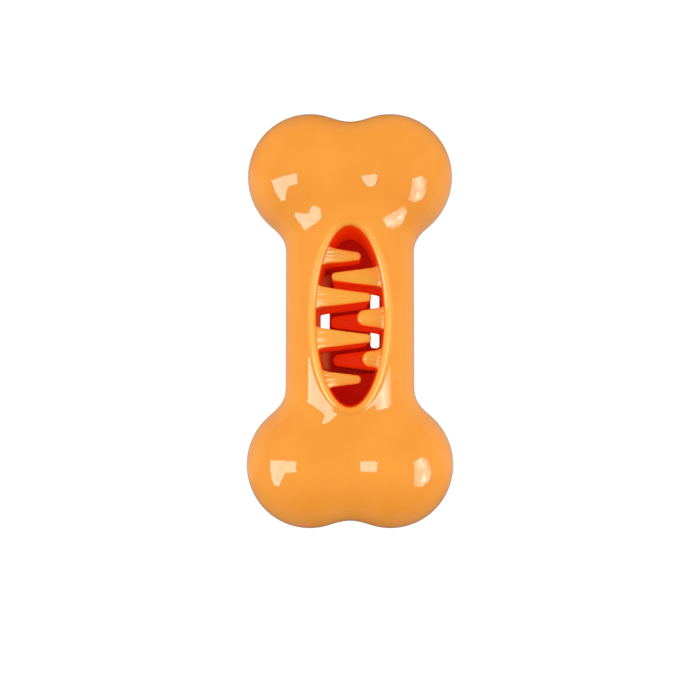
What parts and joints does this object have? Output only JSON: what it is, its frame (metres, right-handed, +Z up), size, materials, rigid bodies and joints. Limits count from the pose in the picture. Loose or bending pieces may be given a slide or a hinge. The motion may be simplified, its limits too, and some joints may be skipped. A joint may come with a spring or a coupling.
{
  "type": "dog toy bone",
  "caption": "Bone-shaped dog treat toy: two glossy shell halves round a red-lined mouth crossed by flexible prongs that hold treats, with vent slots in the back.",
  "frame": {"origin": "on the resting plane, under the middle of the bone", "axes": "+Y along the bone, +X across it, +Z up out of the mouth, with the bone lying on its back"},
  "size_m": [0.0662, 0.133, 0.0401],
  "materials": {
    "orange_shell": "gloss",
    "red_liner": "satin",
    "orange_prong": "satin",
    "red_prong": "satin"
  },
  "bodies": {
    "body": {"front_shell": "orange_shell", "back_shell": "orange_shell", "mouth_sleeve": "red_liner", "window_plate": "red_liner"},
    "front_prong_left_1": {"front_prong_left_1": "orange_prong"},
    "front_prong_right_1": {"front_prong_right_1": "orange_prong"},
    "front_prong_left_2": {"front_prong_left_2": "orange_prong"},
    "front_prong_right_2": {"front_prong_right_2": "orange_prong"},
    "front_prong_left_3": {"front_prong_left_3": "orange_prong"},
    "front_prong_right_3": {"front_prong_right_3": "orange_prong"},
    "front_prong_left_4": {"front_prong_left_4": "orange_prong"},
    "back_prong_right_1": {"back_prong_right_1": "red_prong"},
    "back_prong_left_1": {"back_prong_left_1": "red_prong"},
    "back_prong_right_2": {"back_prong_right_2": "red_prong"},
    "back_prong_left_2": {"back_prong_left_2": "red_prong"},
    "back_prong_right_3": {"back_prong_right_3": "red_prong"}
  },
  "joints": [
    {"name": "front_prong_left_1_flex", "type": "hinge", "parent": "body", "child": "front_prong_left_1", "pos_m": [-0.00712, 0.0192, 0.0278], "axis": [0, -1, 0], "range_deg": [-14, 6], "stiffness_Nm_per_rad": 0.3},
    {"name": "front_prong_right_1_flex", "type": "hinge", "parent": "body", "child": "front_prong_right_1", "pos_m": [0.00896, 0.0128, 0.0278], "axis": [0, 1, 0], "range_deg": [-14, 6], "stiffness_Nm_per_rad": 0.3},
    {"name": "front_prong_left_2_flex", "type": "hinge", "parent": "body", "child": "front_prong_left_2", "pos_m": [-0.00991, 0.0064, 0.0278], "axis": [0, -1, 0], "range_deg": [-14, 6], "stiffness_Nm_per_rad": 0.3},
    {"name": "front_prong_right_2_flex", "type": "hinge", "parent": "body", "child": "front_prong_right_2", "pos_m": [0.0102, 0, 0.0278], "axis": [0, 1, 0], "range_deg": [-14, 6], "stiffness_Nm_per_rad": 0.3},
    {"name": "front_prong_left_3_flex", "type": "hinge", "parent": "body", "child": "front_prong_left_3", "pos_m": [-0.00991, -0.0064, 0.0278], "axis": [0, -1, 0], "range_deg": [-14, 6], "stiffness_Nm_per_rad": 0.3},
    {"name": "front_prong_right_3_flex", "type": "hinge", "parent": "body", "child": "front_prong_right_3", "pos_m": [0.00896, -0.0128, 0.0278], "axis": [0, 1, 0], "range_deg": [-14, 6], "stiffness_Nm_per_rad": 0.3},
    {"name": "front_prong_left_4_flex", "type": "hinge", "parent": "body", "child": "front_prong_left_4", "pos_m": [-0.00712, -0.0192, 0.0278], "axis": [0, -1, 0], "range_deg": [-14, 6], "stiffness_Nm_per_rad": 0.3},
    {"name": "back_prong_right_1_flex", "type": "hinge", "parent": "body", "child": "back_prong_right_1", "pos_m": [0.0099, 0.0128, 0.0113], "axis": [0, 1, 0], "range_deg": [-1, 12], "stiffness_Nm_per_rad": 0.1},
    {"name": "back_prong_left_1_flex", "type": "hinge", "parent": "body", "child": "back_prong_left_1", "pos_m": [-0.0099, 0.0064, 0.0113], "axis": [0, -1, 0], "range_deg": [-1, 12], "stiffness_Nm_per_rad": 0.1},
    {"name": "back_prong_right_2_flex", "type": "hinge", "parent": "body", "child": "back_prong_right_2", "pos_m": [0.0099, 0, 0.0113], "axis": [0, 1, 0], "range_deg": [-1, 12], "stiffness_Nm_per_rad": 0.1},
    {"name": "back_prong_left_2_flex", "type": "hinge", "parent": "body", "child": "back_prong_left_2", "pos_m": [-0.0099, -0.0064, 0.0113], "axis": [0, -1, 0], "range_deg": [-1, 12], "stiffness_Nm_per_rad": 0.1},
    {"name": "back_prong_right_3_flex", "type": "hinge", "parent": "body", "child": "back_prong_right_3", "pos_m": [0.0099, -0.0128, 0.0113], "axis": [0, 1, 0], "range_deg": [-1, 12], "stiffness_Nm_per_rad": 0.1}
  ]
}
